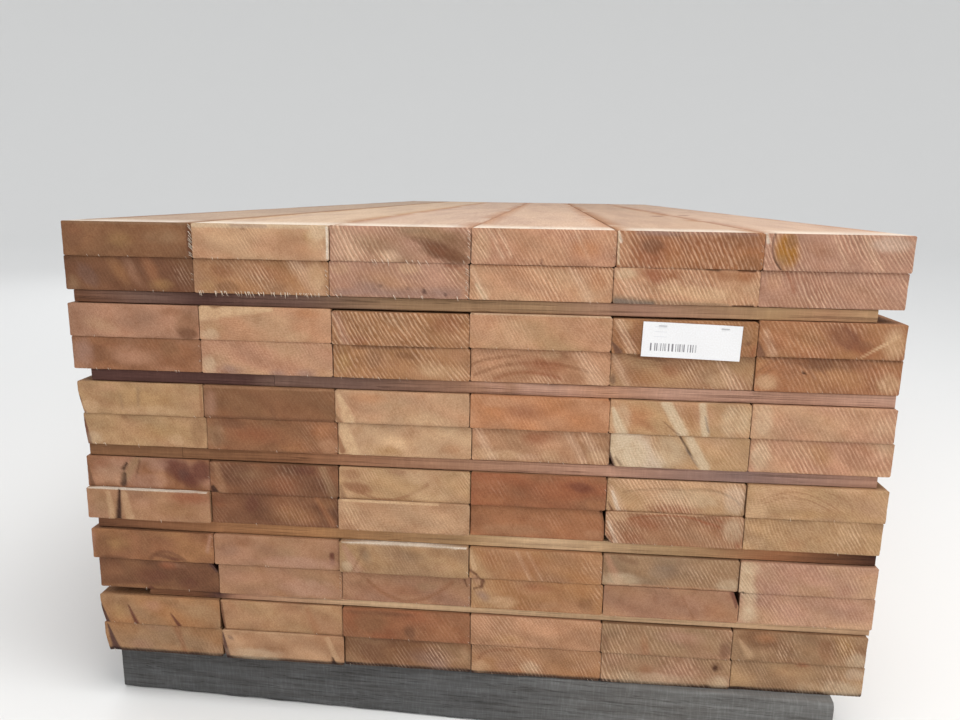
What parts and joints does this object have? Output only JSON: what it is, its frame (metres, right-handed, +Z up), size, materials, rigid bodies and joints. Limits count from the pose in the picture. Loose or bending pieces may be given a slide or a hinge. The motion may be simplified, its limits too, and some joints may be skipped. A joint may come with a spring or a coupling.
{
  "type": "stack of lumber",
  "caption": "Stickered package of rough-sawn softwood boards, stacked flat in tiers on bunks, with a blank lot tag stapled to one board's end.",
  "frame": {"origin": "middle of the middle bunk's underside, on the ground", "axes": "+Y along the boards, away from the end with the lot tag; +X across the package; +Z up"},
  "size_m": [1.2147, 3.0715, 0.7864],
  "materials": {
    "fir_board": "rough sawn, green softwood",
    "sticker_wood": "rough sawn, handled and dusty",
    "bunk_wood": "weathered grey",
    "tag_card": "matt coated card"
  },
  "bodies": {
    "root": {"back_bunk": "bunk_wood", "front_bunk": "bunk_wood", "lot_tag": "tag_card", "middle_bunk": "bunk_wood", "sticker_row_1_back": "sticker_wood", "sticker_row_1_front": "sticker_wood", "sticker_row_1_middle": "sticker_wood", "sticker_row_2_back": "sticker_wood", "sticker_row_2_front": "sticker_wood", "sticker_row_2_middle": "sticker_wood", "sticker_row_3_back": "sticker_wood", "sticker_row_3_front_left": "sticker_wood", "sticker_row_3_front_right": "sticker_wood", "sticker_row_3_middle": "sticker_wood", "sticker_row_4_back": "sticker_wood", "sticker_row_4_front_left": "sticker_wood", "sticker_row_4_front_right": "sticker_wood", "sticker_row_4_middle": "sticker_wood", "sticker_row_5_back": "sticker_wood", "sticker_row_5_front": "sticker_wood", "sticker_row_5_middle": "sticker_wood", "tier_1_lower_boards": "fir_board", "tier_1_upper_boards": "fir_board", "tier_2_lower_boards": "fir_board", "tier_2_upper_boards": "fir_board", "tier_3_lower_boards": "fir_board", "tier_3_upper_boards": "fir_board", "tier_4_lower_boards": "fir_board", "tier_4_upper_boards": "fir_board", "tier_5_lower_boards": "fir_board", "tier_5_upper_boards": "fir_board", "tier_6_lower_boards": "fir_board", "tier_6_upper_boards": "fir_board"}
  },
  "joints": []
}
